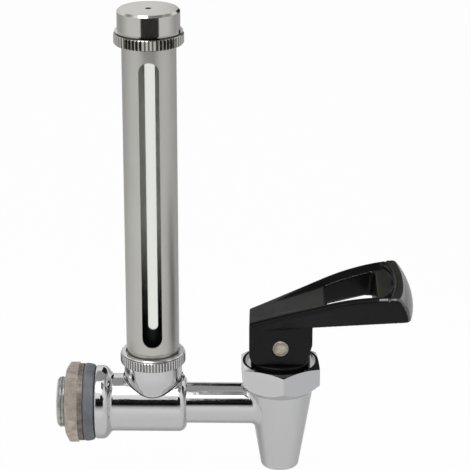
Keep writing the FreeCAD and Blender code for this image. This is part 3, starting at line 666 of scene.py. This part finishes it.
def pressLine(mesh, settings):
    # groove across the lever's end and the low rib in front of it
    facings = [vertex.normal.z for vertex in mesh.vertices]  # all read before any vertex moves
    for vertex, facing in zip(mesh.vertices, facings):
        if facing < settings["lineFacing"] or vertex.co.z < settings["lineLowZ"] * mm:
            continue
        x, y = vertex.co.x / mm - spoutX, vertex.co.y / mm
        along = x - settings["lineX"] + settings["lineCurve"] * y * y
        groove = max(0.0, 1.0 - abs(along) / settings["lineHalf"])
        crest = max(0.0, 1.0 - abs(along - settings["ribStep"]) / settings["ribHalf"])
        vertex.co.z += (crest * settings["ribHeight"] - groove * settings["lineDepth"]) * mm


def makeLever(settings):
    # moulded lever: the solid's shape with soft edges, a groove, a rib and four finishes
    piece = copyShape("handle", "mouldedLever")
    grid = piece.modifiers.new("grid", "REMESH")
    grid.mode = "VOXEL"
    grid.voxel_size = settings["voxel"] * mm
    grid.use_smooth_shade = True
    soft = piece.modifiers.new("soft", "SMOOTH")
    soft.factor = 0.5
    soft.iterations = settings["smoothing"]
    mesh = bakeModifiers(piece)
    pressLine(mesh, settings)
    mesh.materials.clear()
    for finish in leverFinishes:
        mesh.materials.append(finish)
    for face in mesh.polygons:
        face.use_smooth = True
        face.material_index = leverSkin(face, settings)
    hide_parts("handle")
    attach(piece, "lever")
    print("lever made:", len(mesh.polygons), "faces")


makeLever(lever)


def ringProfile(low, high, innerR, outerR):
    return [(low, innerR), (low, outerR), (high, outerR), (high, innerR)]


# profiles are closed, of (along, radius) pairs in mm
softParts = {
    "gasket": {
        "profile": [(0, 12.1), (0, 18.2), (-0.9, 18.5), (-1.8, 18.72), (-2.7, 18.9), (-3.6, 19.0),
                    (-4.5, 18.86), (-5.3, 18.5), (-5.3, 12.1)],  # swells under the clamping
        "steps": 128,
        "rounding": 0.7,
    },
    "lowerWasher": {"profile": ringProfile(14.02, 16.5, 5.0, 8.1), "steps": 72, "rounding": 0.35},
    "upperWasher": {"profile": ringProfile(191.5, 194.0, 5.5, 8.3), "steps": 72, "rounding": 0.35},
    "cup": {
        "profile": [(-8.0, 0.0), (-8.0, 7.6), (-7.4, 8.2), (-2.0, 8.2), (1.2, 8.55), (4.6, 9.3), (7.5, 10.3),
                    (7.5, 12.3), (9.0, 12.3), (9.0, 9.1), (4.6, 8.1), (1.2, 7.35), (-0.8, 7.1), (-0.8, 3.1),
                    (-2.1, 3.1), (-2.1, 4.6), (-6.1, 4.6), (-6.1, 0.0)],  # pocket for the stem's head
        "steps": 96,
        "rounding": 0.25,
    },
}


def turnProfile(name, part, centreX, axis="Z"):
    # profile turned round an axis, with rounded edges
    points = []
    for i in range(part["steps"]):
        angle = 2 * math.pi * i / part["steps"]
        a, b = math.cos(angle), math.sin(angle)
        for along, radius in part["profile"]:
            if axis == "X":
                points.append((centreX + along, radius * a, radius * b))
            else:
                points.append((centreX + radius * a, radius * b, along))
    mesh = newMesh(name, points, gridFaces(part["steps"], len(part["profile"]), True, True))
    build = bmesh.new()
    build.from_mesh(mesh)
    bmesh.ops.remove_doubles(build, verts=build.verts, dist=0.001 * mm)
    bmesh.ops.recalc_face_normals(build, faces=build.faces)
    build.to_mesh(mesh)
    build.free()
    piece = newPiece(name, mesh)
    edge = piece.modifiers.new("edge", "BEVEL")
    edge.width = part["rounding"] * mm
    edge.segments = 3
    edge.limit_method = "ANGLE"
    edge.angle_limit = math.radians(32)
    mesh = bakeModifiers(piece)
    mesh.shade_smooth()
    mesh.set_sharp_from_angle(angle=math.radians(40))
    return piece


def makeSoftParts(settings):
    # moulded silicone parts, each with rounded edges
    gasket = turnProfile("tankGasket", settings["gasket"], 0, "X")
    lower = turnProfile("lowerGlassWasher", settings["lowerWasher"], gaugeX)
    upper = turnProfile("upperGlassWasher", settings["upperWasher"], gaugeX)
    cup = turnProfile("seatCup", settings["cup"], spoutX)
    gasket.data.materials.append(greySilicone)
    for piece in (lower, upper, cup):
        piece.data.materials.append(paleSilicone)
    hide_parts("tank_gasket")
    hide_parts("lower_glass_washer")
    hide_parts("upper_glass_washer")
    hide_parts("seat_cup")
    for piece in (gasket, lower, upper, cup):
        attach(piece, "spigot")
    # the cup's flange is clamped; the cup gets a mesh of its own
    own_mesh(cup)


makeSoftParts(softParts)
print("soft parts made")


spring = {
    "coilR": 5.85,  # mm
    "wireR": 0.65,
    "lowZ": 5.66,
    "highZ": 19.34,
    "turns": 5.6,
    "endShare": 0.16,  # share of the wire over which each end coil closes
    "closing": 0.18,
    "steps": 300,
    "sides": 12,
}


def makeSpring(settings):
    # drawn spring wire, wound on a mandrel, with closed end coils
    rise = settings["highZ"] - settings["lowZ"]
    steps, sides, ends = settings["steps"], settings["sides"], settings["endShare"]
    points = []
    for i in range(steps + 1):
        share = i / steps
        atEnd = max(0.0, 1 - share / ends) + max(0.0, 1 - (1 - share) / ends)
        climb = 0.5 + (share - 0.5) * (1 + settings["closing"] * (1 - atEnd))
        angle = 2 * math.pi * settings["turns"] * share
        out = Vector((math.cos(angle), math.sin(angle), 0))
        height = settings["lowZ"] + rise * min(1, max(0, climb))
        centre = Vector((spoutX, 0, height)) + out * settings["coilR"]
        for k in range(sides):
            turn = 2 * math.pi * k / sides
            offset = out * math.cos(turn) + Vector((0, 0, 1)) * math.sin(turn)
            points.append(centre + offset * settings["wireR"])
    faces = gridFaces(steps + 1, sides, joinAcross=True)
    faces.append(tuple(reversed(range(sides))))
    faces.append(tuple(steps * sides + k for k in range(sides)))
    mesh = newMesh("stemSpring", points, faces)
    mesh.shade_smooth()
    mesh.materials.append(springWire)
    piece = newPiece("stemSpring", mesh)
    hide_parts("stem_spring")
    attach(piece, "spigot")
    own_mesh(piece)


makeSpring(spring)
print("spring made")


thread = {
    "pitch": 1.5,  # mm
    "rootR": 12.01,
    "crest": 0.32,  # mm above the root
    "crestCut": 1.35,  # how far the sharp crest would reach past the flat one
    "startX": -18.15,
    "endX": -13.9,
    "chamferR": 11.12,
    "chamferSlope": 1.05,
    "innerR": 11.0,  # hidden in the shank
    "around": 120,
    "along": 44,
}


def makeThread(settings):
    # the thread's turns beyond the nut, cut off by the shank's end chamfer
    around, along = settings["around"], settings["along"]
    startX, endX = settings["startX"], settings["endX"]
    angles = [2 * math.pi * k / around for k in range(around)]
    points = []
    for i in range(along + 1):
        x = startX + (endX - startX) * i / along
        chamfer = settings["chamferR"] + (x - startX) * settings["chamferSlope"]
        for k, angle in enumerate(angles):
            share = (x / settings["pitch"] + k / around) % 1.0
            ridge = min(1.0, (1 - abs(2 * share - 1)) * settings["crestCut"])
            radius = min(settings["rootR"] + settings["crest"] * ridge, chamfer)
            points.append((x, radius * math.cos(angle), radius * math.sin(angle)))
    for x in (endX, startX):
        points += [(x, settings["innerR"] * math.cos(a), settings["innerR"] * math.sin(a)) for a in angles]
    mesh = newMesh("shankThread", points, gridFaces(along + 3, around, True, True))
    mesh.shade_smooth()
    mesh.set_sharp_from_angle(angle=math.radians(35))
    mesh.materials.append(threadNickel)
    piece = newPiece("shankThread", mesh)
    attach(piece, "spigot")


makeThread(thread)
print("thread made")


castFillets = {
    "neckR": 11.4,  # mm, neck of the gauge boss, and how it widens above the low height
    "neckZ": 8.0,
    "neckSlope": 0.433,
    "neckEase": (0.4, 0.15),  # share of the slope at first, and what each mm adds
    "barrelR": 14.0,
    "bossLeg": 1.25,  # mm, reach of the fillet on each surface
    "bossShadeStrips": (3, 4, 5),  # strips painted dark as the shade in the corner
    "armR": 9.9,
    "armArc": (32, 328),  # degrees from the top, the arm's top runs into the hexagon
    "coneR": 15.8,  # mm at the height below
    "coneZ": 8.6,
    "coneSlope": 0.16667,
    "armLeg": 2.2,
    "sink": 0.03,  # mm that a fillet's feet dip under the surfaces
    "step": 2,  # degrees
}


def makeFillet(name, rows, dull=()):
    # rows of points across a concave corner, joined to a strip; strips listed in dull get the dark chrome,
    # as painted shade
    width = len(rows[0])
    points = [point for row in rows for point in row]
    mesh = newMesh(name, points, gridFaces(len(rows), width))
    mesh.shade_smooth()
    mesh.materials.append(chrome)
    mesh.materials.append(shadeLineChrome)
    for index, face in enumerate(mesh.polygons):
        face.material_index = 1 if index % (width - 1) in dull else 0
    piece = newPiece(name, mesh)
    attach(piece, "spigot")


def filletRow(corner, one, other):
    # nine points of a curve from one foot to the other, pulled towards the corner
    shares = [k / 8 for k in range(9)]
    return [one * (1 - t) ** 2 + corner * (2 * t * (1 - t)) + other * t ** 2 for t in shares]


def alongSurface(normal, towards):
    # unit direction in a surface, as near as it can be to another surface's normal
    return (towards - normal * towards.dot(normal)).normalized()


def ontoPipe(point, radius):
    # the point moved straight to a radius about the shank's axis
    flat = Vector((0, point.y, point.z)).normalized() * radius
    return Vector((point.x, flat.y, flat.z))


def ontoUpright(point, axisX, radius):
    # the point moved straight to a radius about an upright axis
    flat = Vector((point.x - axisX, point.y, 0)).normalized() * radius
    return Vector((axisX + flat.x, flat.y, point.z))


def makeBossFillet(settings):
    # where the gauge boss's neck meets the barrel
    barrelR, leg, sink = settings["barrelR"], settings["bossLeg"], settings["sink"]
    easeFrom, easePerMm = settings["neckEase"]

    def neckRadius(z):
        rise = max(0.0, z - settings["neckZ"])
        return settings["neckR"] + settings["neckSlope"] * rise * min(1.0, easeFrom + rise * easePerMm)

    rows = []
    for degrees in range(0, 361, settings["step"]):
        angle = math.radians(degrees)
        out = Vector((math.cos(angle), math.sin(angle), 0))
        radius = settings["neckR"]
        for _ in range(30):  # settles where the neck meets the barrel
            y = radius * out.y
            radius = neckRadius(math.sqrt(barrelR ** 2 - y * y))
        corner = Vector((gaugeX + radius * out.x, y, math.sqrt(barrelR ** 2 - y * y)))
        up = Vector((0, corner.y, corner.z)).normalized()
        foot = ontoPipe(corner + alongSurface(up, out) * leg, barrelR - sink)
        head = corner + alongSurface(out, up) * leg
        rows.append(filletRow(corner, foot, ontoUpright(head, gaugeX, neckRadius(head.z) - sink)))
    makeFillet("bossFillet", rows, settings["bossShadeStrips"])


def makeSpoutFillet(settings):
    # where the arm meets the spout's cone
    armR, leg, sink = settings["armR"], settings["armLeg"], settings["sink"]
    first, last = settings["armArc"]

    def coneRadius(z):
        return settings["coneR"] + (z - settings["coneZ"]) * settings["coneSlope"]

    rows = []
    for degrees in range(first, last + 1, settings["step"]):
        angle = math.radians(degrees)
        out = Vector((0, math.sin(angle), math.cos(angle)))
        y, z = armR * out.y, armR * out.z
        cone = coneRadius(z)
        corner = Vector((spoutX - math.sqrt(cone * cone - y * y), y, z))
        side = Vector((corner.x - spoutX, corner.y, -cone * settings["coneSlope"])).normalized()
        foot = ontoPipe(corner + alongSurface(out, side) * leg, armR - sink)
        head = corner + alongSurface(side, out) * leg
        rows.append(filletRow(corner, foot, ontoUpright(head, spoutX, coneRadius(head.z) - sink)))
    makeFillet("spoutFillet", rows)


makeBossFillet(castFillets)
makeSpoutFillet(castFillets)
print("casting fillets made")
